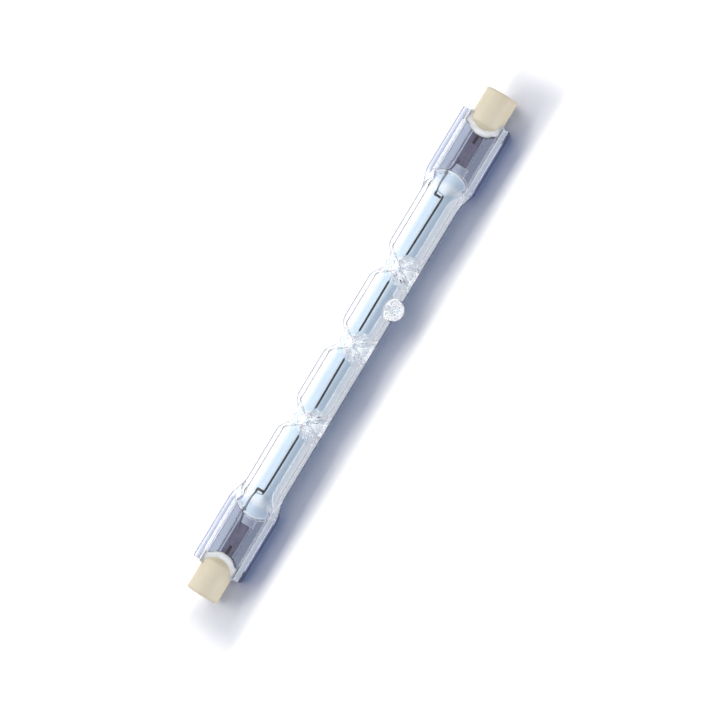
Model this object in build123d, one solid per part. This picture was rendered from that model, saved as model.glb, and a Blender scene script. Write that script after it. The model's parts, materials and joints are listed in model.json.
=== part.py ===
from build123d import *

import os
from math import asin, atan2, cos, degrees, hypot, radians, sin, tan

# Whole lamp, in millimetres; the lamp's axis is X and its middle is the origin
lamp_length = 117.6
cap_overhang = 6.0

# Quartz tube
tube_d = 8.8
tube_wall = 1.0

# Constrictions along the tube, each of dimples pushed in around it
constriction_count = 3
constriction_pitch = 18.0
dimple_count = 3
dimple_angle = 37.0
dimple_depth = 1.8
dimple_length = 6.4
dimple_floor = 1.4
dimple_blend_r = 1.3
channel_r = 0.8
bump_length = 5.6
bump_floor = 1.0

# Exhaust tip-off on the side of the tube
tip_x = 9.4
tip_angle = 57.0
tip_lean = 10.0
tip_d = 4.6
tip_reach = 7.1
tip_bulge = 0.35
tip_nose_d = 0.5
tip_bore_d = 1.8
tip_bore_reach = 5.6

# Press seal at each end: two rails, a web between them and a pad along its middle
seal_length = 13.9
seal_width = 10.9
seal_height = 5.0
seal_corner_r = 0.8
rail_width = 1.5
web_thickness = 2.1
mould_draft = 15.0
pad_width = 3.5
pad_height = 0.25
neck_length = 5.2
flare_root_width = 7.8
flare_chamfer = 0.5

# End of the gas space, flattened towards the seal and round in plan
cavity_nose = 1.1
cavity_end_width = 7.5
cavity_end_height = 1.1
cavity_nose_sag = 1.7
shoulder = 0.5

# Molybdenum foil in each seal
foil_length = 8.6
foil_width = 2.6
foil_thickness = 0.03
foil_setback = 1.9
weld_depth = 0.05

# Inner leads
inner_lead_d = 0.45
inner_lead_overlap = 1.2
inner_lead_inset = 0.5
inner_lead_offset = 1.6
inner_lead_bend = 0.3
hook_setback = 3.5
crook_spacing = 0.8

# Filament
coil_d = 0.5
filament_wire_d = 0.14
coil_gap = 3.2

# Outer leads
outer_lead_d = 0.6
outer_lead_overlap = 3.2

# Ceramic caps
cap_d = 7.0
cap_length = 8.0
cap_edge_chamfer = 0.35
fork_d = 6.6
fork_clearance = 0.2
fork_bottom = 0.3
lead_hole_clearance = 0.15

# Cement: a dome in front of the cap, and what fills its fork and its sides
cement_nose = 1.8
cement_side_start = 0.5
cement_side_width = 7.7
cement_side_height = 3.8

# Contacts, sunk in the ends of the caps
contact_recess_d = 3.2
contact_recess = 1.7
contact_sink = 0.1
contact_d = 2.8
contact_thickness = 1.0
contact_edge_chamfer = 0.25

# How far cutting shapes stand past what they cut
cut_margin = 2.0
graze = 0.05

# Places worked out from the sizes above
tube_r = tube_d / 2
gas_r = tube_r - tube_wall
lamp_end = lamp_length / 2
seal_end = lamp_end - cap_overhang
seal_start = seal_end - seal_length
tube_end = seal_start - neck_length
cavity_end = seal_start + cavity_nose
cavity_plan_r = ((cavity_end_width / 2) ** 2 + cavity_nose_sag ** 2) / (2 * cavity_nose_sag)
cavity_plan_x = cavity_end - cavity_plan_r
web_top = web_thickness / 2
pad_top = web_top + pad_height
trough_half = seal_width / 2 - rail_width
foil_start = cavity_end + foil_setback
foil_end = foil_start + foil_length
inner_lead_z = foil_thickness / 2 + inner_lead_d / 2 - weld_depth
outer_lead_z = foil_thickness / 2 + outer_lead_d / 2 - weld_depth
hook_x = seal_start - hook_setback
cap_start = lamp_end - cap_length
fork_root = seal_end + fork_bottom
contact_face = lamp_end - contact_recess
contact_back = contact_face - contact_thickness
constrictions = [
    (i - (constriction_count - 1) / 2) * constriction_pitch for i in range(constriction_count)
]


def rest_roll():
    # Turn about X at which the tube and the rails on its -Y side both touch a level floor
    corner_y = seal_width / 2 - seal_corner_r
    corner_z = seal_height / 2 - seal_corner_r
    reach = asin((tube_r - seal_corner_r) / hypot(corner_y, corner_z))
    return degrees(reach - atan2(corner_z, corner_y))


def section_at(x):
    # Plane across the lamp at x, with its own X along the seal's width
    return Plane(origin=(x, 0, 0), x_dir=(0, 1, 0), z_dir=(1, 0, 0))


def rod(radius, x_from, x_to, y=0.0, z=0.0):
    start = Plane(origin=(x_from, y, z), x_dir=(0, 1, 0), z_dir=(1, 0, 0))
    return extrude(start * Circle(radius), x_to - x_from)


def both_ends(solid):
    return {"left": mirror(solid, Plane.YZ), "right": solid}


def across_tube(outline, surface_r):
    # Cutting shape whose outline is drawn in the lamp's length and height, carried across the tube
    return extrude(Plane.XZ * make_face(outline), surface_r + cut_margin, both=True)


def dimple_outline(surface_r, floor_r, length, floor_length):
    # From one shoulder down to the dimple's floor and up to the other
    edge = surface_r + graze
    return [
        (-length / 2 - cut_margin, edge),
        (-length / 2, edge),
        (-floor_length / 2, floor_r),
        (floor_length / 2, floor_r),
        (length / 2, edge),
        (length / 2 + cut_margin, edge),
    ]


def outer_dimple():
    points = dimple_outline(tube_r, tube_r - dimple_depth, dimple_length, dimple_floor)
    top = tube_r + cut_margin
    closing = Polyline(points[-1], (points[-1][0], top), (points[0][0], top), points[0])
    rounded = FilletPolyline(*points, radius=dimple_blend_r)
    return across_tube(rounded + closing, tube_r)


def inner_bump():
    # The same push seen from inside, where the glass stands in towards the filament
    points = dimple_outline(gas_r, channel_r, bump_length, bump_floor)[1:-1]
    return across_tube(Polyline(*points, close=True), gas_r)


def dimples(tool):
    # The tool repeated around the tube at every constriction
    step = 360 / dimple_count
    turns = [dimple_angle + i * step for i in range(dimple_count)]
    return [Pos(X=x) * Rot(X=turn) * tool for x in constrictions for turn in turns]


def pressed_round(radius, x_to, half_height):
    # The round form going on from the tube's end, pressed flat from above and below towards x_to
    outline = Polyline(
        (tube_end, radius + graze),
        (x_to, half_height),
        (x_to, -half_height),
        (tube_end, -radius - graze),
        close=True,
    )
    wedge = extrude(Plane.XZ * make_face(outline), radius + cut_margin, both=True)
    return rod(radius, tube_end, x_to) & wedge


def neck():
    # Pressed end of the tube, with its sides spreading out into the rails
    plan = Polyline(
        (tube_end, flare_root_width / 2),
        (seal_start, seal_width / 2),
        (seal_start, -seal_width / 2),
        (tube_end, -flare_root_width / 2),
        close=True,
    )
    flare = extrude(make_face(plan), seal_height / 2, both=True)
    long_edges = [edge for edge in flare.edges() if edge.length > neck_length]
    flare = chamfer(long_edges, flare_chamfer)
    return pressed_round(tube_r, seal_start, seal_height / 2) + flare


def trough():
    # Space that the press jaws leave above the web, from the round shoulder of the tube outwards
    height = tube_r - web_top + cut_margin
    spread = tan(radians(mould_draft))
    foot = trough_half - (seal_height / 2 - web_top) * spread
    mouth = foot + height * spread
    top = web_top + height
    section = Polyline((-foot, web_top), (foot, web_top), (mouth, top), (-mouth, top), close=True)
    space = extrude(
        section_at(cavity_plan_x) * make_face(section), seal_end + cut_margin - cavity_plan_x
    )
    shoulder_r = cavity_plan_r + shoulder
    end = Cone(
        shoulder_r,
        shoulder_r - height * spread,
        height,
        align=(Align.CENTER, Align.CENTER, Align.MIN),
    )
    return space - Pos(cavity_plan_x, 0, web_top) * end


def pad():
    plan = Pos(X=cavity_end) * Rectangle(
        seal_end - cavity_end, pad_width, align=(Align.MIN, Align.CENTER)
    )
    return extrude(plan, pad_top, both=True)


def seal_outside():
    section = section_at(seal_start) * RectangleRounded(seal_width, seal_height, seal_corner_r)
    block = extrude(section, seal_length)
    upper = trough()
    return neck() + block - upper - mirror(upper, Plane.XY) + pad()


def seal_cavity():
    # From the round gas space to a flat end, a little wider and round in plan
    half_width = cavity_end_width / 2
    half_height = cavity_end_height / 2
    spread = Polyline(
        (tube_end, gas_r - graze),
        (cavity_end, half_width),
        (cavity_end, -half_width),
        (tube_end, -gas_r + graze),
        close=True,
    )
    space = pressed_round(gas_r, cavity_end, half_height)
    space += extrude(make_face(spread), half_height, both=True)
    plan = Pos(X=cavity_plan_x) * Circle(cavity_plan_r)
    plan += Pos(X=tube_end) * Rectangle(
        cavity_plan_x - tube_end, 2 * cavity_plan_r, align=(Align.MIN, Align.CENTER)
    )
    return space & extrude(plan, tube_r, both=True)


def tip_place():
    turned = Pos(X=tip_x) * Rot(X=tip_angle)
    return turned * Rot(Y=tip_lean)


def tip_outside():
    # Teardrop that the flame leaves where the exhaust tube was melted off
    base = gas_r
    side = tip_d / 2
    nose = tip_nose_d / 2
    middle = ((side + nose) / 2 + tip_bulge, (tube_r + tip_reach) / 2 + tip_bulge)
    flank = ThreePointArc((side, tube_r), middle, (nose, tip_reach))
    rest = Polyline((nose, tip_reach), (0, tip_reach), (0, base), (side, base), (side, tube_r))
    return tip_place() * revolve(Plane.XZ * make_face(flank + rest), Axis.Z)


def tip_cavity():
    base = gas_r - tube_wall
    profile = Polyline((0, base), (tip_bore_d / 2, base), (0, tip_bore_reach), close=True)
    return tip_place() * revolve(Plane.XZ * make_face(profile), Axis.Z)


def quartz_outside():
    solid = rod(tube_r, -tube_end, tube_end)
    solid = solid - dimples(outer_dimple())
    for seal in both_ends(seal_outside()).values():
        solid += seal
    return solid + tip_outside()


def gas_space():
    space = rod(gas_r, -tube_end, tube_end)
    space = space - dimples(inner_bump())
    for cavity in both_ends(seal_cavity()).values():
        space += cavity
    return space + tip_cavity()


def foil():
    plan = Rectangle(foil_length, foil_width, align=(Align.MIN, Align.CENTER))
    start = Plane.XY.offset(-foil_thickness / 2)
    return Pos(X=foil_start) * extrude(start * plan, foil_thickness)


def weld_flat(x_from, x_to):
    # What a wire loses where it is flattened against the foil
    plan = Pos(X=x_from) * Rectangle(x_to - x_from, foil_width, align=(Align.MIN, Align.CENTER))
    return extrude(Plane.XY.offset(foil_thickness / 2) * plan, -foil_width)


def inner_lead():
    weld_y = foil_width / 2 - inner_lead_inset
    weld_end = foil_start + inner_lead_overlap
    crook_x = hook_x - crook_spacing
    route = Polyline(
        (weld_end, weld_y, inner_lead_z),
        (seal_start, inner_lead_offset, inner_lead_z),
        (crook_x + inner_lead_bend, inner_lead_offset, inner_lead_z),
        (crook_x, inner_lead_offset - inner_lead_bend, inner_lead_z),
        (crook_x, 0, inner_lead_z),
    )
    start = Plane(origin=route @ 0, z_dir=route % 0)
    wire = sweep(start * Circle(inner_lead_d / 2), path=route, transition=Transition.RIGHT)
    wire -= weld_flat(foil_start, weld_end + inner_lead_d)
    return wire - rod(coil_d / 2, crook_x - cut_margin, crook_x + cut_margin)


def coil_spans():
    # Ends of each coiled stretch, which stop short of the constrictions
    inner_ends = [x + side * coil_gap for x in constrictions for side in (-1, 1)]
    ends = [-hook_x] + inner_ends + [hook_x]
    return list(zip(ends[0::2], ends[1::2]))


def filament(leads):
    wire_r = filament_wire_d / 2
    solid = rod(wire_r, -hook_x, hook_x)
    for start, end in coil_spans():
        solid += rod(coil_d / 2, start, end)
    for x in (-hook_x + wire_r, hook_x - wire_r):
        leg = extrude(Plane.XZ * Circle(wire_r), -inner_lead_offset)
        solid += Pos(X=x) * leg
    return solid - leads


def outer_lead():
    start = foil_end - outer_lead_overlap
    wire = rod(outer_lead_d / 2, start, contact_back, z=outer_lead_z)
    return wire - weld_flat(start, foil_end)


def ceramic_cap():
    # Barrel with a fork that straddles the web, between the rails
    barrel = rod(cap_d / 2, fork_root, lamp_end)
    barrel = chamfer(barrel.edges().group_by(Axis.X)[-1], cap_edge_chamfer)
    barrel += rod(fork_d / 2, cap_start, fork_root)
    barrel -= Pos(X=fork_root) * Box(
        fork_root - cap_start + cut_margin,
        cap_d,
        2 * (pad_top + fork_clearance),
        align=(Align.MAX, Align.CENTER, Align.CENTER),
    )
    hole_r = outer_lead_d / 2 + lead_hole_clearance
    barrel -= rod(hole_r, fork_root, contact_back, z=outer_lead_z)
    barrel -= rod(contact_d / 2, contact_back, contact_face)
    return barrel - rod(contact_recess_d / 2, contact_face + contact_sink, lamp_end)


def cement():
    # Whole shape, before the quartz, the cap and the wire are taken out of it
    fork_r = fork_d / 2
    dome_r = (fork_r ** 2 + cement_nose ** 2) / (2 * cement_nose)
    apex = cap_start - cement_nose
    half_turn = asin(fork_r / dome_r) / 2
    middle = (apex + dome_r * (1 - cos(half_turn)), dome_r * sin(half_turn))
    flank = ThreePointArc((apex, 0), middle, (cap_start, fork_r))
    rest = Polyline((cap_start, fork_r), (cap_start, 0), (apex, 0))
    sides = Pos(X=fork_root) * Box(
        fork_root - cap_start + cement_side_start,
        cement_side_width,
        cement_side_height,
        align=(Align.MAX, Align.CENTER, Align.CENTER),
    )
    return revolve(make_face(flank + rest), Axis.X) + sides


def contact_button():
    button = rod(contact_d / 2, contact_back, contact_face)
    return chamfer(button.edges().group_by(Axis.X)[-1], contact_edge_chamfer)


def lamp():
    foils = both_ends(foil())
    inner_leads = both_ends(inner_lead())
    outer_leads = both_ends(outer_lead())
    caps = both_ends(ceramic_cap())
    buttons = both_ends(contact_button())
    sealed = [*foils.values(), *inner_leads.values(), *outer_leads.values()]
    outside = quartz_outside()
    pieces = {
        "quartz_envelope": outside - gas_space() - sealed,
        "filament": filament(list(inner_leads.values())),
    }
    for side, filling in both_ends(cement()).items():
        pieces["cap_cement_" + side] = filling - outside - caps[side] - outer_leads[side]
        pieces["ceramic_cap_" + side] = caps[side]
        pieces["contact_button_" + side] = buttons[side]
        pieces["molybdenum_foil_" + side] = foils[side]
        pieces["inner_lead_" + side] = inner_leads[side]
        pieces["outer_lead_" + side] = outer_leads[side]
    return pieces


os.makedirs("parts", exist_ok=True)
roll = Rot(X=rest_roll())
for name, piece in lamp().items():
    export_step(roll * piece, "parts/" + name + ".step")
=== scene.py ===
import json
import math

import bpy
import numpy as np
from mathutils import Matrix, Vector

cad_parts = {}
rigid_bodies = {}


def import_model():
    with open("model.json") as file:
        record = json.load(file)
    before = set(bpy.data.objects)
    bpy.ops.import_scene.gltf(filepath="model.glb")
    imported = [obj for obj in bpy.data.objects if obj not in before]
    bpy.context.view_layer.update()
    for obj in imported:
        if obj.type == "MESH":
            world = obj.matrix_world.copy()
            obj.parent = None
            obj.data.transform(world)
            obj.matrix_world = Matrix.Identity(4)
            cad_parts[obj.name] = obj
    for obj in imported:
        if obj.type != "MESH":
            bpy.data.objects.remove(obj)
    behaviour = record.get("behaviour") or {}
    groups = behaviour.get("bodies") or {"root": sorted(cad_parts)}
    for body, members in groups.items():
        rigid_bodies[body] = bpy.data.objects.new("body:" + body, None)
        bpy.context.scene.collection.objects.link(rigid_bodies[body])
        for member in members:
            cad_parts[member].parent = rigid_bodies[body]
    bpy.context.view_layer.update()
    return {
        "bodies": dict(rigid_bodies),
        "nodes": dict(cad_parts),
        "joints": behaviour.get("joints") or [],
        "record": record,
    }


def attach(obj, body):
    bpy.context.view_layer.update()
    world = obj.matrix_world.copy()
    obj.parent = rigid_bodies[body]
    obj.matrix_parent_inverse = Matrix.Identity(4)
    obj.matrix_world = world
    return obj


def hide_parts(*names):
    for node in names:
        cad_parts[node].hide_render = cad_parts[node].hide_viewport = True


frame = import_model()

MM = 0.001

# ---------------------------------------------------------------- sizes, in mm, as the solids have them
TUBE_R, GAS_R = 4.4, 3.4
LAMP_END, SEAL_END, SEAL_START = 58.8, 52.8, 38.9
TUBE_END, CAVITY_END = 33.7, 40.0
SEAL_HALF_WIDTH, SEAL_HALF_HEIGHT, SEAL_CORNER_R = 5.45, 2.5, 0.8
WEB_TOP, PAD_TOP, PAD_HALF_WIDTH = 1.05, 1.3, 1.75
TROUGH_HALF, DRAFT = 3.95, math.tan(math.radians(15))
WINDOW_X, WINDOW_HALF = 40.75, 0.95
CAVITY_HALF_WIDTH, CAVITY_HALF_HEIGHT, CAVITY_SAG = 3.75, 0.55, 1.7
PLAN_R = (CAVITY_HALF_WIDTH ** 2 + CAVITY_SAG ** 2) / (2 * CAVITY_SAG)
PLAN_X = CAVITY_END - PLAN_R
SHOULDER = 0.5
CONSTRICTIONS = (-18.0, 0.0, 18.0)
DIMPLE_ANGLES, DIMPLE_REACH = (37.0, 157.0, 277.0), 5.0
FAN_ANGLE, FAN_APEX, FAN_SPREAD, FAN_RISE, FAN_FLUTES = 37.0, -1.4, 0.66, 0.34, 16
TIP_X, TIP_ANGLE, TIP_LEAN = 9.4, 57.0, 10.0
TIP_R, TIP_REACH, TIP_BORE_R, TIP_BORE_REACH = 2.3, 7.1, 0.5, 4.9
FOIL_START, FOIL_END, FOIL_HALF_WIDTH, FOIL_HALF_THICKNESS = 41.9, 50.5, 1.3, 0.015
HOOK_X, CROOK_X, LEAD_OFFSET, LEAD_WELD_Y, LEAD_WELD_END = 35.4, 34.6, 1.6, 0.8, 43.1
INNER_LEAD_R, INNER_LEAD_Z = 0.225, 0.19
OUTER_LEAD_R, OUTER_LEAD_Z, OUTER_LEAD_START = 0.3, 0.265, 47.3
COIL_R, COIL_GAP = 0.25, 3.2
# How far each stretch of the coil lies off the axis at its two ends, sideways in the photo
COIL_LEAN = ((0.06, 0.20), (0.21, 0.06), (-0.26, -0.32), (0.0, 0.30))
CAP_R, CAP_START, FORK_ROOT, BEAD_TOP = 3.5, 50.8, 53.1, 1.95
CONTACT_R, CONTACT_BACK, CONTACT_FACE, RECESS_R = 1.4, 56.1, 57.1, 1.6
FLOOR_Z = -4.4

# The lamp lies rolled until its tube and the lower rails both touch the floor
_cy, _cz = SEAL_HALF_WIDTH - SEAL_CORNER_R, SEAL_HALF_HEIGHT - SEAL_CORNER_R
ROLL = math.asin((TUBE_R - SEAL_CORNER_R) / math.hypot(_cy, _cz)) - math.atan2(_cz, _cy)
ROLL_MATRIX = np.array(Matrix.Rotation(ROLL, 3, "X"))


# ---------------------------------------------------------------- solid shapes as distance fields
def smooth_min(a, b, k):
    h = np.clip(0.5 + 0.5 * (b - a) / k, 0, 1)
    return b + (a - b) * h - k * h * (1 - h)


def smooth_max(a, b, k):
    return -smooth_min(-a, -b, k)


def smooth_step(t):
    t = np.clip(t, 0, 1)
    return t * t * (3 - 2 * t)


def rounded_section(y, z, half_y, half_z, corner):
    qy = np.abs(y) - (half_y - corner)
    qz = np.abs(z) - (half_z - corner)
    outer = np.hypot(np.maximum(qy, 0), np.maximum(qz, 0))
    return outer + np.minimum(np.maximum(qy, qz), 0) - corner


def off_constriction(x):
    """Signed distance along the tube from the nearest constriction."""
    best = np.full(x.shape, 1e3)
    for c in CONSTRICTIONS:
        d = x - c
        best = np.where(np.abs(d) < np.abs(best), d, best)
    return best


def outer_push(d):
    # Height of a dimple's floor above the axis, along the tube, with the jaws' small middle ridge
    slope = 2.5 + 0.74 * (np.sqrt(np.maximum(np.abs(d) - 0.55, 0) ** 2 + 0.25) - 0.5)
    ridge = 0.42 * np.exp(-(d / 0.5) ** 2)
    ripple = 0.05 * np.cos(2 * math.pi * d / 0.95) * np.exp(-(d / 2.2) ** 4)
    return slope + ridge + ripple


def fan_push(d, w):
    # The dimple that faces up: its floor spreads like a fan from a point beside the axis, in flutes
    below = np.maximum(w - FAN_APEX, 0)
    half = 0.35 + FAN_SPREAD * below + 0.55 * np.maximum(FAN_APEX - w, 0)
    floor_height = 2.5 + FAN_RISE * below
    flutes = 0.09 * np.cos(FAN_FLUTES * np.arctan2(d, below + 0.3)) * smooth_step(np.hypot(d, below) / 1.2)
    rise = 0.85 * (np.sqrt(np.maximum(np.abs(d) - half, 0) ** 2 + 0.16) - 0.4)
    return floor_height + rise + flutes * (below > 0)


def inner_push(d):
    return 0.8 + 1.13 * (np.sqrt(np.maximum(np.abs(d) - 0.3, 0) ** 2 + 0.16) - 0.4)


def tip_local(x, y, z):
    a, b = math.radians(TIP_ANGLE), math.radians(TIP_LEAN)
    px = x - TIP_X
    py = y * math.cos(a) + z * math.sin(a)
    pz = -y * math.sin(a) + z * math.cos(a)
    return np.hypot(px * math.cos(b) - pz * math.sin(b), py), px * math.sin(b) + pz * math.cos(b)


def tip_outside(x, y, z):
    rho, h = tip_local(x, y, z)
    s = np.clip((h - TUBE_R) / (TIP_REACH - TUBE_R), 0, 1)
    radius = TIP_R * (1 - s ** 2.2) ** 0.62
    side = (rho - radius) * 0.8
    cone = smooth_max(side, h - TIP_REACH, 0.2)
    return smooth_max(cone, GAS_R + 0.2 - h, 0.3)


def tip_bore(x, y, z):
    rho, h = tip_local(x, y, z)
    radius = TIP_BORE_R * np.clip((TIP_BORE_REACH - h) / (TIP_BORE_REACH - GAS_R), 0, 2)
    return smooth_max((rho - radius) * 0.85, 2.6 - h, 0.2)


def trough(ax, y, z):
    up = np.abs(z) - WEB_TOP
    foot = TROUGH_HALF - (SEAL_HALF_HEIGHT - WEB_TOP) * DRAFT
    side = np.abs(y) - (foot + up * DRAFT)
    round_end = PLAN_R + SHOULDER - up * DRAFT - np.hypot(np.maximum(ax - PLAN_X, 0), y)
    walls = smooth_max(side, round_end, 0.35)
    return smooth_max(walls, -up, 0.25)


def quartz_outside(x, y, z):
    ax = np.abs(x)
    t = smooth_step((ax - TUBE_END) / (SEAL_START - TUBE_END))
    body = rounded_section(
        y, z,
        TUBE_R + t * (SEAL_HALF_WIDTH - TUBE_R),
        TUBE_R + t * (SEAL_HALF_HEIGHT - TUBE_R),
        TUBE_R + t * (SEAL_CORNER_R - TUBE_R),
    )
    d = off_constriction(x)
    for angle in DIMPLE_ANGLES:
        a = math.radians(angle)
        h = z * math.cos(a) - y * math.sin(a)
        if angle == FAN_ANGLE:
            push = (h - fan_push(d, -y * math.cos(a) - z * math.sin(a))) * 0.7
        else:
            push = (h - outer_push(d)) * 0.8
        body = smooth_max(body, np.where(np.abs(d) < DIMPLE_REACH, push, -1.0), 0.45)
    body = smooth_min(body, tip_outside(x, y, z), 0.5)
    body = smooth_max(body, -trough(ax, y, z), 0.7)
    pad = np.maximum(np.maximum(np.abs(y) - PAD_HALF_WIDTH, np.abs(z) - PAD_TOP), CAVITY_END - ax)
    body = smooth_min(body, pad, 0.12)
    # A raised frame around the clear window between the cavity and the foil
    frame = np.abs(np.maximum(np.abs(ax - WINDOW_X) - WINDOW_HALF, np.abs(y) - PAD_HALF_WIDTH)) - 0.16
    body = smooth_min(body, np.maximum(frame, np.abs(z) - PAD_TOP - 0.12), 0.12)
    return smooth_max(body, ax - SEAL_END, 0.25)


def gas_space(x, y, z):
    ax = np.abs(x)
    t = smooth_step((ax - TUBE_END) / (CAVITY_END - TUBE_END)) ** 0.9
    body = rounded_section(
        y, z,
        GAS_R + t * (CAVITY_HALF_WIDTH - GAS_R),
        GAS_R + t * (CAVITY_HALF_HEIGHT - GAS_R),
        GAS_R + t * (CAVITY_HALF_HEIGHT - 0.05 - GAS_R),
    )
    round_end = np.hypot(np.maximum(ax - PLAN_X, 0), y) - PLAN_R
    body = smooth_max(body, round_end, 0.5)
    d = off_constriction(x)
    for angle in DIMPLE_ANGLES:
        a = math.radians(angle)
        h = z * math.cos(a) - y * math.sin(a)
        push = (h - inner_push(d)) * 0.66
        body = smooth_max(body, np.where(np.abs(d) < DIMPLE_REACH, push, -1.0), 0.6)
    return smooth_min(body, tip_bore(x, y, z), 0.3)


def quartz(x, y, z):
    return np.maximum(quartz_outside(x, y, z), -gas_space(x, y, z))


def cap_shape(x, y, z):
    rho = np.hypot(y, z)
    nose = CAP_START - 0.9 + 1.9 * (rho / CAP_R) ** 2
    body = smooth_max(rho - CAP_R, np.maximum(x - LAMP_END, (nose - x) * 0.7), 0.35)
    slot = np.maximum(np.abs(z) - (PAD_TOP + 0.2), x - FORK_ROOT)
    body = smooth_max(body, -slot, 0.1)
    hole = np.maximum(np.hypot(y, z - OUTER_LEAD_Z) - 0.45, x - CONTACT_BACK - 0.1)
    body = np.maximum(body, -hole)
    seat = np.maximum(rho - CONTACT_R, np.maximum(x - CONTACT_FACE - 0.3, CONTACT_BACK - x))
    recess = np.maximum(rho - RECESS_R, CONTACT_FACE + 0.1 - x)
    return smooth_max(np.maximum(body, -seat), -recess, 0.18)


def lumps(x, y, z):
    return (np.sin(2.3 * x + 1.1 * y) * np.sin(1.9 * y + 2.4 * z + 0.7)
            + 0.6 * np.sin(4.1 * x - 3.1 * z) * np.sin(3.7 * y + 1.3))


def cement_shape(x, y, z):
    fork = CAP_R - 0.05
    nose = 1.8
    dome_r = (fork ** 2 + nose ** 2) / (2 * nose)
    apex = CAP_START - nose
    dome = np.sqrt((x - apex - dome_r) ** 2 + y ** 2 + z ** 2) - dome_r
    dome = np.maximum(np.maximum(dome, np.hypot(y, z) - fork), x - CAP_START - 1.3)
    dome = smooth_max(dome, np.abs(z) - BEAD_TOP, 0.3)
    sides = rounded_section(y, z, 3.85, 1.9, 0.25)
    sides = np.maximum(sides, np.maximum(x - FORK_ROOT, CAP_START - 0.2 - x))
    body = smooth_min(dome, sides, 0.5) + 0.05 * lumps(x, y, z)
    body = np.maximum(body, -(quartz_outside(x, y, z) + 0.02))
    body = np.maximum(body, -(cap_shape(x, y, z) + 0.02))
    # Nothing is left over outside the rails or beyond the fork's root
    return np.maximum(np.maximum(body, x - FORK_ROOT), np.abs(y) - 4.0)


# ---------------------------------------------------------------- meshes from fields
def net(field, xs, ys, zs):
    """Vertices, quads and normals of the field's zero surface on a grid of uneven steps."""
    X, Y, Z = np.meshgrid(xs, ys, zs, indexing="ij")
    F = field(X, Y, Z)
    F = np.where(np.abs(F) < 1e-7, 1e-7, F)
    inside = F < 0
    n = [s - 1 for s in F.shape]

    def cut(A, i, j, k):
        return A[i:i + n[0], j:j + n[1], k:k + n[2]]

    total = sum(cut(inside, i, j, k).astype(np.int8) for i in (0, 1) for j in (0, 1) for k in (0, 1))
    active = (total > 0) & (total < 8)
    where = np.nonzero(active)
    index = np.full(active.shape, -1)
    index[where] = np.arange(len(where[0]))
    sums = np.zeros((len(where[0]), 3))
    hits = np.zeros(len(where[0]))
    corner = [(i, j, k) for i in (0, 1) for j in (0, 1) for k in (0, 1)]
    for a in corner:
        for axis in range(3):
            if a[axis]:
                continue
            b = list(a)
            b[axis] = 1
            fa, fb = cut(F, *a)[where], cut(F, *b)[where]
            cross = (fa < 0) != (fb < 0)
            t = np.where(cross, fa / np.where(cross, fa - fb, 1), 0)
            for q, A in enumerate((X, Y, Z)):
                va, vb = cut(A, *a)[where], cut(A, *b)[where]
                sums[:, q] += np.where(cross, va + t * (vb - va), 0)
            hits += cross
    verts = sums / hits[:, None]
    quads = []
    for axis in range(3):
        others = [q for q in range(3) if q != axis]
        here = [slice(1, -1)] * 3
        here[axis] = slice(0, n[axis])
        there = list(here)
        there[axis] = slice(1, n[axis] + 1)
        ia, ib = inside[tuple(here)], inside[tuple(there)]
        cells = np.nonzero(ia != ib)
        base = [c + (0 if q == axis else 1) for q, c in enumerate(cells)]

        def at(du, dv):
            p = list(base)
            p[others[0]] = p[others[0]] - du
            p[others[1]] = p[others[1]] - dv
            return index[tuple(p)]

        ring = np.stack([at(1, 1), at(0, 1), at(0, 0), at(1, 0)], 1)
        flip = ia[cells] if axis != 1 else ~ia[cells]
        ring[~flip] = ring[~flip][:, ::-1]
        quads.append(ring)
    quads = np.concatenate(quads)

    def gradient(p, e=0.01):
        g = np.empty_like(p)
        for q in range(3):
            s = np.zeros(3)
            s[q] = e
            g[:, q] = (field(*(p + s).T) - field(*(p - s).T)) / (2 * e)
        return g

    for _ in range(3):
        g = gradient(verts)
        step = field(*verts.T)[:, None] * g / np.maximum((g * g).sum(1, keepdims=True), 0.05)
        verts = verts - np.clip(step, -0.12, 0.12)
    normals = gradient(verts, 0.02)
    normals /= np.maximum(np.linalg.norm(normals, axis=1, keepdims=True), 1e-9)
    return verts, quads, normals


def make_mesh(name, verts, faces, normals=None):
    """Blender object, rolled to its rest, from points in mm; faces is an array with one row a face."""
    verts = verts @ ROLL_MATRIX.T
    if normals is not None:
        normals = normals @ ROLL_MATRIX.T
    mesh = bpy.data.meshes.new(name)
    count = faces.shape[1]
    mesh.vertices.add(len(verts))
    mesh.vertices.foreach_set("co", (verts * MM).astype(np.float32).ravel())
    mesh.loops.add(faces.size)
    mesh.loops.foreach_set("vertex_index", faces.astype(np.int32).ravel())
    mesh.polygons.add(len(faces))
    mesh.polygons.foreach_set("loop_start", np.arange(0, faces.size, count, dtype=np.int32))
    mesh.update(calc_edges=True)
    mesh.validate(clean_customdata=False)
    mesh.polygons.foreach_set("use_smooth", np.ones(len(mesh.polygons), bool))
    if normals is not None:
        mesh.normals_split_custom_set_from_vertices(normals.astype(np.float32))
    obj = bpy.data.objects.new(name, mesh)
    bpy.context.scene.collection.objects.link(obj)
    return obj


def mirrored(verts, faces, normals, side):
    if side > 0:
        return verts, faces, normals
    turn = np.array((-1.0, 1.0, 1.0))
    return verts * turn, faces[:, ::-1], None if normals is None else normals * turn


def steps(*spans):
    """Grid places from spans of (from, to, step)."""
    out = [spans[0][0]]
    for a, b, step in spans:
        n = max(1, round((b - a) / step))
        out += [a + (b - a) * (i + 1) / n for i in range(n)]
    return np.array(out)


def lathe(profile, sides=64):
    """Turned shape about X from (x, radius) points."""
    rows = []
    for x, r in profile:
        for i in range(sides):
            a = 2 * math.pi * i / sides
            rows.append((x, r * math.cos(a), r * math.sin(a)))
    faces = []
    for j in range(len(profile) - 1):
        for i in range(sides):
            k = (i + 1) % sides
            faces.append((j * sides + i, j * sides + k, (j + 1) * sides + k, (j + 1) * sides + i))
    return np.array(rows), np.array(faces)


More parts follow.
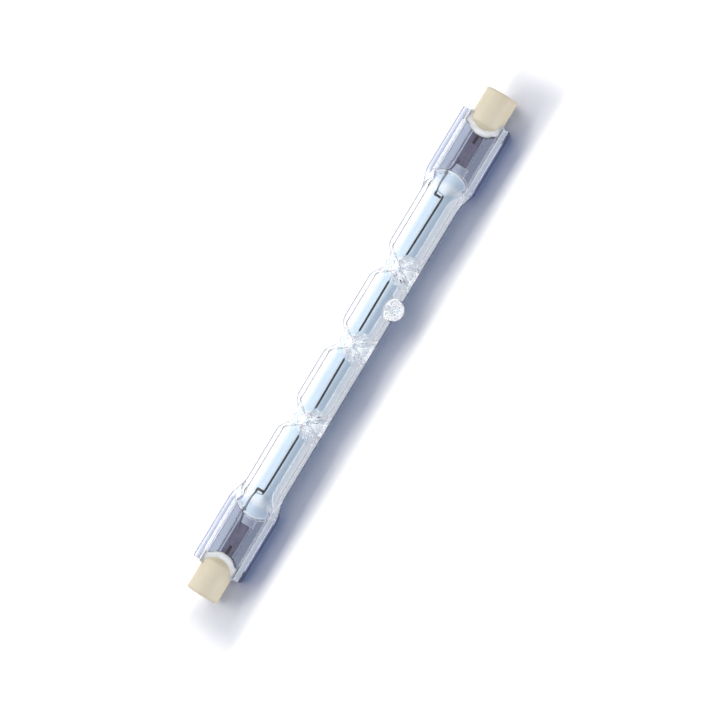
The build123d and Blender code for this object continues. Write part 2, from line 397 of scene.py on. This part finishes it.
def sweep_tube(points, radius, sides):
    """Closed tube along points in mm."""
    p = np.array(points, float)
    tangents = np.gradient(p, axis=0)
    tangents /= np.linalg.norm(tangents, axis=1, keepdims=True)
    up = np.array((0.0, 0.0, 1.0))
    if abs(tangents[0] @ up) > 0.9:
        up = np.array((0.0, 1.0, 0.0))
    rows = []
    normal = up - (up @ tangents[0]) * tangents[0]
    normal /= np.linalg.norm(normal)
    for i, t in enumerate(tangents):
        normal = normal - (normal @ t) * t
        normal /= np.linalg.norm(normal)
        side = np.cross(t, normal)
        for j in range(sides):
            a = 2 * math.pi * j / sides
            rows.append(p[i] + radius * (math.cos(a) * side + math.sin(a) * normal))
    faces = []
    n = len(p)
    for i in range(n - 1):
        for j in range(sides):
            k = (j + 1) % sides
            faces.append((i * sides + j, i * sides + k, (i + 1) * sides + k, (i + 1) * sides + j))
    for start in (0, n - 1):
        centre = len(rows)
        rows.append(p[start])
        for j in range(sides):
            k = (j + 1) % sides
            a, b = start * sides + j, start * sides + k
            faces.append((centre, b, a, a) if start == 0 else (centre, a, b, b))
    return np.array(rows), faces


def object_from_faces(name, verts, faces):
    """Like make_mesh, for faces of three or four points in a list."""
    verts = verts @ ROLL_MATRIX.T
    mesh = bpy.data.meshes.new(name)
    faces = [tuple(dict.fromkeys(int(v) for v in f)) for f in faces]
    mesh.from_pydata([tuple(v) for v in verts * MM], [], faces)
    mesh.update()
    mesh.polygons.foreach_set("use_smooth", np.ones(len(mesh.polygons), bool))
    obj = bpy.data.objects.new(name, mesh)
    bpy.context.scene.collection.objects.link(obj)
    return obj


# ---------------------------------------------------------------- materials
def new_material(name):
    mat = bpy.data.materials.new(name)
    mat.use_nodes = True
    nodes, links = mat.node_tree.nodes, mat.node_tree.links
    nodes.clear()
    out = nodes.new("ShaderNodeOutputMaterial")
    shader = nodes.new("ShaderNodeBsdfPrincipled")
    links.new(shader.outputs["BSDF"], out.inputs["Surface"])
    return mat, nodes, links, shader, out


def object_coords(nodes):
    return nodes.new("ShaderNodeTexCoord").outputs["Object"]


def noise(nodes, links, coords, scale, detail=3.0, roughness=0.5):
    n = nodes.new("ShaderNodeTexNoise")
    n.inputs["Scale"].default_value = scale
    n.inputs["Detail"].default_value = detail
    n.inputs["Roughness"].default_value = roughness
    links.new(coords, n.inputs["Vector"])
    return n.outputs["Fac"]


def ramp(nodes, links, factor, stops):
    r = nodes.new("ShaderNodeValToRGB")
    r.color_ramp.elements[0].position, r.color_ramp.elements[0].color = stops[0]
    r.color_ramp.elements[1].position, r.color_ramp.elements[1].color = stops[-1]
    for place, colour in stops[1:-1]:
        r.color_ramp.elements.new(place).color = colour
    links.new(factor, r.inputs["Fac"])
    return r.outputs["Color"]


def bump(nodes, links, height, shader, strength, distance):
    b = nodes.new("ShaderNodeBump")
    b.inputs["Strength"].default_value = strength
    b.inputs["Distance"].default_value = distance
    links.new(height, b.inputs["Height"])
    links.new(b.outputs["Normal"], shader.inputs["Normal"])


def spread(nodes, links, factor, low, high):
    m = nodes.new("ShaderNodeMapRange")
    m.inputs["To Min"].default_value = low
    m.inputs["To Max"].default_value = high
    links.new(factor, m.inputs["Value"])
    return m.outputs["Result"]


def quartz_material():
    mat, nodes, links, shader, out = new_material("fused_quartz")
    coords = object_coords(nodes)
    shader.inputs["Transmission Weight"].default_value = 1.0
    shader.inputs["IOR"].default_value = 1.458
    streak = nodes.new("ShaderNodeMapping")
    streak.inputs["Scale"].default_value = (0.15, 1.0, 1.0)
    links.new(coords, streak.inputs["Vector"])
    drawn = noise(nodes, links, streak.outputs["Vector"], 260, 2.0)
    tint = ramp(nodes, links, drawn, [(0.3, (0.955, 0.972, 0.99, 1)), (0.7, (0.99, 0.996, 1, 1))])
    # Painted shade by view angle: where the glass faces the eye it is a painted pale blue-grey, standing in
    # for the shadowed floor seen through it, and where its outside is seen edge-on it has a painted dark edge
    facing = nodes.new("ShaderNodeLayerWeight")
    facing.inputs["Blend"].default_value = 0.5
    rim = ramp(nodes, links, facing.outputs["Facing"], EDGE_AND_FACING_SHADE_STOPS)
    edge, painted_seal_shade = nodes.new("ShaderNodeAttribute"), nodes.new("ShaderNodeAttribute")
    edge.attribute_name, painted_seal_shade.attribute_name = "painted_shade_weight", "painted_seal_shade"
    # The drawn streaks times the seals' painted shade
    streaks_and_seal_shade = mix_colours(nodes, links, 1.0, tint, painted_seal_shade.outputs["Color"], "MULTIPLY")
    links.new(mix_colours(nodes, links, edge.outputs["Fac"], streaks_and_seal_shade, rim, "MULTIPLY"),
              shader.inputs["Base Color"])
    links.new(spread(nodes, links, noise(nodes, links, coords, 400), 0.0, 0.02),
              shader.inputs["Roughness"])
    bump(nodes, links, drawn, shader, 0.06, 0.0001)
    return mat


def ceramic_material():
    mat, nodes, links, shader, out = new_material("steatite")
    coords = object_coords(nodes)
    broad = noise(nodes, links, coords, 160, 4.0, 0.6)
    colour = ramp(nodes, links, broad, [(0.3, (0.74, 0.66, 0.48, 1)), (0.7, (0.82, 0.74, 0.57, 1))])
    # Browner on the end face and the last millimetre of the barrel
    place = nodes.new("ShaderNodeSeparateXYZ")
    links.new(coords, place.inputs[0])
    end = band(nodes, links, math_node(nodes, links, "ABSOLUTE", place.outputs["X"], 0.0),
               0.0584, 0.07, 0.0005)
    browning = math_node(nodes, links, "MULTIPLY", end, 0.35)
    links.new(mix_colours(nodes, links, browning, colour, (0.58, 0.46, 0.28, 1)),
              shader.inputs["Base Color"])
    fine = noise(nodes, links, coords, 2600, 5.0, 0.7)
    links.new(spread(nodes, links, fine, 0.38, 0.55), shader.inputs["Roughness"])
    bump(nodes, links, fine, shader, 0.25, 0.00004)
    return mat


def cement_material():
    mat, nodes, links, shader, out = new_material("lamp_cement")
    coords = object_coords(nodes)
    grain = noise(nodes, links, coords, 3200, 6.0, 0.75)
    broad = noise(nodes, links, coords, 420, 3.0)
    colour = ramp(nodes, links, broad, [(0.3, (0.86, 0.89, 0.90, 1)), (0.7, (0.94, 0.95, 0.95, 1))])
    links.new(colour, shader.inputs["Base Color"])
    shader.inputs["Roughness"].default_value = 0.9
    bump(nodes, links, grain, shader, 0.6, 0.00008)
    return mat


def mix_colours(nodes, links, factor, a, b, kind="MIX"):
    """Colour a turned into b by factor; each may be a socket or a value."""
    m = nodes.new("ShaderNodeMix")
    m.data_type = "RGBA"
    m.blend_type = kind
    for value, name in ((factor, "Factor"), (a, "A"), (b, "B")):
        if isinstance(value, (int, float, tuple)):
            m.inputs[name].default_value = value
        else:
            links.new(value, m.inputs[name])
    return m.outputs["Result"]


def metal_material(name, dark, light, rough_low, rough_high, scale, stretch, hot=None):
    mat, nodes, links, shader, out = new_material(name)
    coords = object_coords(nodes)
    mapping = nodes.new("ShaderNodeMapping")
    mapping.inputs["Scale"].default_value = stretch
    links.new(coords, mapping.inputs["Vector"])
    grain = noise(nodes, links, mapping.outputs["Vector"], scale, 4.0, 0.6)
    colour = ramp(nodes, links, grain, [(0.3, dark), (0.7, light)])
    if hot:
        # Darkened by heat, as far out from the lamp's middle as hot says
        place = nodes.new("ShaderNodeSeparateXYZ")
        links.new(coords, place.inputs[0])
        heat = band(nodes, links, math_node(nodes, links, "ABSOLUTE", place.outputs["X"], 0.0),
                    -1.0, hot * MM, 0.0006)
        colour = mix_colours(nodes, links, heat, colour, (0.02, 0.008, 0.01, 1))
    links.new(colour, shader.inputs["Base Color"])
    shader.inputs["Metallic"].default_value = 1.0
    links.new(spread(nodes, links, grain, rough_low, rough_high), shader.inputs["Roughness"])
    bump(nodes, links, grain, shader, 0.2, 0.00002)
    return mat


def math_node(nodes, links, operation, a, b):
    m = nodes.new("ShaderNodeMath")
    m.operation = operation
    for value, socket in ((a, m.inputs[0]), (b, m.inputs[1])):
        if isinstance(value, (int, float)):
            socket.default_value = value
        else:
            links.new(value, socket)
    return m.outputs[0]


def seen_directly(nodes, links):
    """1 for what the camera sees, itself or through glass and in gloss, and 0 for what lights the scene."""
    path = nodes.new("ShaderNodeLightPath")
    first = math_node(nodes, links, "LESS_THAN", path.outputs["Diffuse Depth"], 0.5)
    kinds = math_node(nodes, links, "MAXIMUM", path.outputs["Is Glossy Ray"],
                      path.outputs["Is Transmission Ray"])
    clear = math_node(nodes, links, "MULTIPLY", kinds, first)
    return math_node(nodes, links, "MAXIMUM", path.outputs["Is Camera Ray"], clear)


def band(nodes, links, value, low, high, soft):
    """1 between low and high with soft ends, 0 outside."""
    parts = []
    for edge, sign in ((low, 1), (high, -1)):
        m = nodes.new("ShaderNodeMapRange")
        m.interpolation_type = "SMOOTHSTEP"
        m.inputs["From Min"].default_value = edge - sign * soft
        m.inputs["From Max"].default_value = edge + sign * soft
        links.new(value, m.inputs["Value"])
        parts.append(m.outputs["Result"])
    return math_node(nodes, links, "MULTIPLY", *parts)


def floor_material():
    mat, nodes, links, shader, out = new_material("white_sweep")
    shader.inputs["Base Color"].default_value = FLOOR_COLOUR
    shader.inputs["Roughness"].default_value = 0.9
    shader.inputs["Specular IOR Level"].default_value = 0.0
    place = nodes.new("ShaderNodeSeparateXYZ")
    links.new(object_coords(nodes), place.inputs[0])
    from_middle = math_node(nodes, links, "ABSOLUTE", place.outputs["X"], 0.0)
    # The glow is lower beside the lamp, so that the floor keeps its shadow there; that low glow is blue, a
    # painted blue tint in the shadow, and it leaves the band a little grey where no shadow falls
    shadow_band = math_node(nodes, links, "MULTIPLY", band(nodes, links, from_middle, -1.0, 0.066, 0.004),
                     band(nodes, links, place.outputs["Y"], -0.0105, 0.0035, 0.002))
    path = nodes.new("ShaderNodeLightPath")
    glow = nodes.new("ShaderNodeEmission")
    # Seen through the glass the whole floor has one plain glow
    direct = ramp(nodes, links, shadow_band, [(0.0, SWEEP_GLOW), (1.0, SHADOW_BAND_GLOW)])
    links.new(mix_colours(nodes, links, path.outputs["Is Transmission Ray"], direct, GLASS_GLOW),
              glow.inputs["Color"])
    links.new(seen_directly(nodes, links), glow.inputs["Strength"])
    add = nodes.new("ShaderNodeAddShader")
    links.new(shader.outputs["BSDF"], add.inputs[0])
    links.new(glow.outputs["Emission"], add.inputs[1])
    links.new(add.outputs["Shader"], out.inputs["Surface"])
    return mat


FLOOR_COLOUR = (0.97, 0.95, 0.92, 1)
# Beside the lamp the glow is low and blue: painted blue shade in the lamp's shadow
SHADOW_BAND_GLOW, SWEEP_GLOW = (0.0, 0.03, 0.11, 1), (0.33, 0.35, 0.37, 1)
GLASS_GLOW = (0.40, 0.42, 0.46, 1)
PAST_SWEEP = (0.10, 0.11, 0.14, 1)
# Painted shade in the seals' glass: grey-blue over the web, standing in for the shadowed floor seen through
# it, and darker along the rails' edges
WEB_PAINTED_SHADE, RAIL_PAINTED_SHADE = (0.47, 0.48, 0.56), (0.24, 0.24, 0.42)
# By how edge-on the glass is seen: a painted pale blue-grey shade facing the eye, clear, and a painted dark
# edge
EDGE_AND_FACING_SHADE_STOPS = [(0.0, (0.76, 0.84, 0.91, 1)), (0.085, (0.72, 0.80, 0.88, 1)), (0.11, (1, 1, 1, 1)),
             (0.65, (1, 1, 1, 1)), (0.72, (0.02, 0.025, 0.07, 1)), (1.0, (0.02, 0.025, 0.04, 1))]

quartz_mat = quartz_material()
ceramic_mat = ceramic_material()
cement_mat = cement_material()
molybdenum_mat = metal_material("molybdenum", (0.26, 0.23, 0.30, 1), (0.42, 0.37, 0.46, 1),
                                0.35, 0.55, 900, (1, 1, 1))
lead_mat = metal_material("molybdenum_wire", (0.24, 0.23, 0.27, 1), (0.42, 0.41, 0.46, 1),
                          0.3, 0.5, 900, (0.2, 1, 1), hot=36.0)
outer_mat = metal_material("molybdenum_pin", (0.06, 0.035, 0.04, 1), (0.16, 0.10, 0.11, 1),
                           0.2, 0.35, 900, (0.2, 1, 1))
tungsten_mat = metal_material("tungsten", (0.016, 0.006, 0.009, 1), (0.05, 0.018, 0.024, 1),
                              0.35, 0.5, 1500, (0.3, 1, 1))
contact_mat = metal_material("contact_metal", (0.50, 0.48, 0.44, 1), (0.68, 0.66, 0.62, 1),
                             0.2, 0.35, 1200, (1, 1, 1))


def settle(obj, material, node):
    obj.data.materials.clear()
    obj.data.materials.append(material)
    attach(obj, "root")
    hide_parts(node)


# ---------------------------------------------------------------- quartz envelope
FINE = 0.24
quartz_xs = steps(
    (-53.1, -52.0, 0.15), (-52.0, -42.0, 0.6), (-42.0, -33.0, FINE), (-33.0, -22.8, 1.0),
    (-22.8, -13.2, FINE), (-13.2, -4.8, 1.0), (-4.8, 22.8, FINE), (22.8, 33.0, 1.0),
    (33.0, 42.0, FINE), (42.0, 52.0, 0.6), (52.0, 53.1, 0.15),
)
quartz_parts = net(quartz, quartz_xs, np.arange(-7.8, 5.9, FINE), np.arange(-4.8, 5.9, FINE))
envelope = make_mesh("quartz_envelope_glass", *quartz_parts)
spots = quartz_parts[0].T
# How much the painted edge shade and facing shade count: most on the outside, less on the bore and the tip
on_outside = np.abs(quartz_outside(*spots)) < np.abs(gas_space(*spots))
tip_rho, tip_height = tip_local(*spots)
on_tip = (tip_rho < TIP_R + 0.3) & (tip_height > TUBE_R - 0.4)
painted_shade_weight = (0.75 + 0.25 * on_outside) * (1 - 0.2 * on_tip)
envelope.data.attributes.new("painted_shade_weight", "FLOAT", "POINT").data.foreach_set(
    "value", painted_shade_weight.astype(np.float32))
# Where the seals' painted shade lies: over the web and along the rails' edges
far, wide = np.abs(spots[0]), np.abs(spots[1])
in_seal = smooth_step((far - CAVITY_END + wide ** 2 / 8) / 0.6)[:, None]
on_web = smooth_step((TROUGH_HALF - 0.1 - wide) / 0.4)[:, None]
on_edge = smooth_step((wide - 4.8) / 0.4)[:, None]
painted_seal_shade = 1 - in_seal * (on_web * (1 - np.array(WEB_PAINTED_SHADE)) + on_edge * (1 - np.array(RAIL_PAINTED_SHADE)))
envelope.data.attributes.new("painted_seal_shade", "FLOAT_COLOR", "POINT").data.foreach_set(
    "color", np.concatenate([painted_seal_shade, np.ones((len(painted_seal_shade), 1))], 1).astype(np.float32).ravel())
settle(envelope, quartz_mat, "quartz_envelope")

# ---------------------------------------------------------------- caps, cement and contacts
cap_grid = (steps((CAP_START - 1.0, LAMP_END + 0.2, 0.13)), steps((-3.8, 3.8, 0.14)), steps((-3.8, 3.8, 0.14)))
cap_parts = net(cap_shape, *cap_grid)
cement_parts = net(cement_shape, steps((48.6, 53.4, 0.11)), steps((-4.2, 4.2, 0.12)), steps((-3.8, 3.8, 0.12)))
button_profile = [(CONTACT_BACK, 0.0), (CONTACT_BACK, CONTACT_R), (CONTACT_FACE - 0.22, CONTACT_R),
                  (CONTACT_FACE - 0.08, CONTACT_R - 0.06), (CONTACT_FACE - 0.01, CONTACT_R - 0.22),
                  (CONTACT_FACE, CONTACT_R - 0.4), (CONTACT_FACE - 0.04, 0.7), (CONTACT_FACE - 0.05, 0.0)]
for side, sign in (("left", -1), ("right", 1)):
    settle(make_mesh(f"ceramic_cap_{side}_body", *mirrored(*cap_parts, sign)),
           ceramic_mat, f"ceramic_cap_{side}")
    settle(make_mesh(f"cap_cement_{side}_fill", *mirrored(*cement_parts, sign)),
           cement_mat, f"cap_cement_{side}")
    rows, faces = lathe(button_profile)
    rows, faces, _ = mirrored(rows, faces, None, sign)
    settle(object_from_faces(f"contact_button_{side}_turned", rows, faces),
           contact_mat, f"contact_button_{side}")


# ---------------------------------------------------------------- foils and leads
def foil_sheet(sign):
    nx, ny = 60, 14
    top, bottom = [], []
    for i in range(nx + 1):
        x = FOIL_START + (FOIL_END - FOIL_START) * i / nx
        for j in range(ny + 1):
            v = -1 + 2 * j / ny
            half = FOIL_HALF_WIDTH * (1 - 0.12 * max(0.0, 1 - (x - FOIL_START) / 0.25) ** 2)
            thick = FOIL_HALF_THICKNESS * (1 - 0.85 * abs(v) ** 3)
            ripple = 0.010 * math.sin(2.4 * x + 0.6 * v) * (1 - v * v)
            top.append((x, half * v, ripple + thick))
            bottom.append((x, half * v, ripple - thick))
    rows = np.array(top + bottom)
    faces, n = [], (nx + 1) * (ny + 1)
    for i in range(nx):
        for j in range(ny):
            a, b = i * (ny + 1) + j, (i + 1) * (ny + 1) + j
            faces.append((a, b, b + 1, a + 1))
            faces.append((n + a, n + a + 1, n + b + 1, n + b))
    rim = [i * (ny + 1) for i in range(nx + 1)]
    far = [i * (ny + 1) + ny for i in range(nx + 1)]
    for line, turn in ((rim, False), (far, True)):
        for a, b in zip(line, line[1:]):
            quad = (a, n + a, n + b, b)
            faces.append(quad[::-1] if turn else quad)
    for i, turn in ((0, True), (nx, False)):
        for j in range(ny):
            a = i * (ny + 1) + j
            quad = (a, n + a, n + a + 1, a + 1)
            faces.append(quad[::-1] if turn else quad)
    return mirrored(rows, np.array(faces), None, sign)


def smooth_path(points, rounds=2):
    """The points' line with its corners rounded by cutting them."""
    p = [np.array(q, float) for q in points]
    for _ in range(rounds):
        out = [p[0]]
        for a, b in zip(p, p[1:]):
            out += [a * 0.75 + b * 0.25, a * 0.25 + b * 0.75]
        out.append(p[-1])
        p = out
    return p


for side, sign in (("left", -1), ("right", 1)):
    rows, faces, _ = foil_sheet(sign)
    settle(make_mesh(f"molybdenum_foil_{side}_sheet", rows, faces), molybdenum_mat,
           f"molybdenum_foil_{side}")
    route = smooth_path([
        (LEAD_WELD_END, LEAD_WELD_Y, INNER_LEAD_Z), (41.0, 1.14, INNER_LEAD_Z),
        (SEAL_START, LEAD_OFFSET, INNER_LEAD_Z), (36.8, LEAD_OFFSET, INNER_LEAD_Z),
        (CROOK_X, LEAD_OFFSET, INNER_LEAD_Z), (CROOK_X, 0.9, INNER_LEAD_Z), (CROOK_X, 0.0, INNER_LEAD_Z)])
    rows, faces = sweep_tube(route, INNER_LEAD_R, 16)
    rows, faces, _ = mirrored(rows, np.array([f if len(f) == 4 else f + f[-1:] for f in faces]), None, sign)
    settle(object_from_faces(f"inner_lead_{side}_wire", rows, faces), lead_mat,
           f"inner_lead_{side}")
    line = [(OUTER_LEAD_START + (CONTACT_BACK - OUTER_LEAD_START) * i / 40, 0, OUTER_LEAD_Z)
            for i in range(41)]
    rows, faces = sweep_tube(line, OUTER_LEAD_R, 20)
    rows, faces, _ = mirrored(rows, np.array(faces), None, sign)
    settle(object_from_faces(f"outer_lead_{side}_wire", rows, faces), outer_mat,
           f"outer_lead_{side}")


# ---------------------------------------------------------------- filament
def filament_line():
    """Centre line of the winding and whether it is coiled there, from one hook to the other."""
    wire_r, pitch, per_turn = 0.055, 0.13, 12
    across = ROLL_MATRIX.T @ np.array((0.0, -0.833, -0.553))
    turn_r = COIL_R - wire_r
    ends = [-HOOK_X + 0.25]
    for c in CONSTRICTIONS:
        ends += [c - COIL_GAP, c + COIL_GAP]
    ends.append(HOOK_X - 0.25)
    spans = list(zip(ends[0::2], ends[1::2]))
    points = [(-HOOK_X + 0.08, LEAD_OFFSET - 0.1, 0.0), (-HOOK_X + 0.08, 0.9, 0.0),
              (-HOOK_X + 0.08, 0.35, 0.0)]
    for n, (a, b) in enumerate(spans):
        turns = round((b - a) / pitch)
        count = turns * per_turn
        for i in range(count + 1):
            x = a + (b - a) * i / count
            angle = 2 * math.pi * i / per_turn
            grow = min(1.0, i / per_turn, (count - i) / per_turn)
            part = (x - a) / (b - a)
            off = COIL_LEAN[n][0] + (COIL_LEAN[n][1] - COIL_LEAN[n][0]) * part
            sag = -0.06 * math.sin(math.pi * part)
            points.append((x, turn_r * grow * math.cos(angle) + off * across[1],
                           turn_r * grow * math.sin(angle) + sag + off * across[2]))
        if n < len(spans) - 1:
            start, before, after = spans[n + 1][0], COIL_LEAN[n][1], COIL_LEAN[n + 1][0]
            for k in range(1, 8):
                off = before + (after - before) * k / 8
                points.append((b + (start - b) * k / 8, off * across[1], off * across[2]))
    points += [(HOOK_X - 0.08, 0.35, 0.0), (HOOK_X - 0.08, 0.9, 0.0),
               (HOOK_X - 0.08, LEAD_OFFSET - 0.1, 0.0)]
    return points, wire_r


points, wire_r = filament_line()
rows, faces = sweep_tube(points, wire_r, 6)
filament = object_from_faces("filament_winding", rows, faces)
settle(filament, tungsten_mat, "filament")


# ---------------------------------------------------------------- stage, light and camera
def plane(name, half, z):
    mesh = bpy.data.meshes.new(name)
    mesh.from_pydata([(-half, -half, z), (half, -half, z), (half, half, z), (-half, half, z)], [],
                     [(0, 1, 2, 3)])
    obj = bpy.data.objects.new(name, mesh)
    bpy.context.scene.collection.objects.link(obj)
    return obj


floor = plane("white_floor", 1.5, FLOOR_Z * MM)
floor.data.materials.append(floor_material())


def area_light(name, place, target, size_x, size_y, power, colour):
    data = bpy.data.lights.new(name, "AREA")
    data.shape = "RECTANGLE"
    data.size, data.size_y = size_x, size_y
    data.energy = power
    data.color = colour
    obj = bpy.data.objects.new(name, data)
    bpy.context.scene.collection.objects.link(obj)
    obj.location = place
    back = (Vector(place) - Vector(target)).normalized()
    x_axis = Vector((1, 0, 0))
    y_axis = back.cross(x_axis).normalized()
    obj.rotation_euler = Matrix((x_axis, y_axis, back)).transposed().to_euler()
    return obj


def polar(distance, elevation, side):
    e = math.radians(elevation)
    return (0.0, side * distance * math.cos(e), distance * math.sin(e))


# Name, elevation in degrees, side towards +Y or -Y, height of the panel, watts and colour
for name, height, side, size_y, power, colour in (
        ("key", 52, 1, 0.19, 2.6, (1.0, 0.98, 0.94)),
        ("overhead", 84, 1, 0.43, 0.9, (1.0, 0.98, 0.95)),
        ("fill", 5, -1, 0.07, 1.9, (0.97, 0.98, 1.0))):
    lamp = area_light(name, polar(0.5, height, side), (0, 0, 0), 1.0, size_y, power, colour)
    # Only the overhead light shines through the glass, so the lamp keeps its shadow
    lamp.visible_transmission = name == "overhead"
    lamp.visible_camera = False

world = bpy.data.worlds.new("studio")
bpy.context.scene.world = world
world.use_nodes = True
wn, wl = world.node_tree.nodes, world.node_tree.links
wn.clear()
world_out = wn.new("ShaderNodeOutputWorld")
lit = wn.new("ShaderNodeBackground")
lit.inputs["Color"].default_value = (0.6, 0.7, 1.0, 1)
lit.inputs["Strength"].default_value = 0.14
seen = wn.new("ShaderNodeBackground")
seen.inputs["Strength"].default_value = 1.0
mix = wn.new("ShaderNodeMixShader")
wl.new(seen_directly(wn, wl), mix.inputs["Fac"])
wl.new(lit.outputs["Background"], mix.inputs[1])
wl.new(seen.outputs["Background"], mix.inputs[2])
wl.new(mix.outputs["Shader"], world_out.inputs["Surface"])
# The studio past the sweep, dark just above the horizon, gives the glass its outlines
direction = wn.new("ShaderNodeTexCoord").outputs["Generated"]
height = wn.new("ShaderNodeSeparateXYZ")
wl.new(direction, height.inputs[0])
world_path = wn.new("ShaderNodeLightPath")
beyond = band(wn, wl, height.outputs["Z"], -0.3, 0.16, 0.03)
bounced = math_node(wn, wl, "SUBTRACT", 1.0, world_path.outputs["Is Camera Ray"])
wl.new(mix_colours(wn, wl, math_node(wn, wl, "MULTIPLY", beyond, bounced), (1, 1, 1, 1), PAST_SWEEP),
       seen.inputs["Color"])

# The camera looks nearly straight down on the seals' faces, and is turned so that the lamp stands slanted
IMAGE = 720
PX_PER_MM = 4.962
LAMP_PIXEL = (352.4, 344.9)
AXIS_TURN = math.radians(58.95)
ELEVATION = 90 - math.degrees(ROLL) - 7.0
camera_data = bpy.data.cameras.new("camera")
camera = bpy.data.objects.new("camera", camera_data)
bpy.context.scene.collection.objects.link(camera)
camera_data.sensor_width, camera_data.lens = 36.0, 200.0
e = math.radians(ELEVATION)
back = Vector((0, -math.cos(e), math.sin(e)))
along, across = Vector((1, 0, 0)), Vector((0, math.sin(e), math.cos(e)))
right = along * math.cos(AXIS_TURN) - across * math.sin(AXIS_TURN)
up = along * math.sin(AXIS_TURN) + across * math.cos(AXIS_TURN)
half_view = IMAGE / PX_PER_MM / 2 * MM
distance = half_view / (camera_data.sensor_width / 2 / camera_data.lens)
aim = (right * (IMAGE / 2 - LAMP_PIXEL[0]) - up * (IMAGE / 2 - LAMP_PIXEL[1])) * (MM / PX_PER_MM)
camera.location = aim + back * distance
camera.rotation_euler = Matrix((right, up, back)).transposed().to_euler()
camera_data.clip_start, camera_data.clip_end = 0.05, 10.0
bpy.context.scene.camera = camera

bpy.context.scene.view_settings.view_transform = "Standard"
# With fewer bounces the light held in the solid tip is cut off and it turns black
bpy.context.scene.cycles.max_bounces = 64
bpy.context.scene.cycles.transmission_bounces = 64
bpy.context.scene.cycles.glossy_bounces = 64
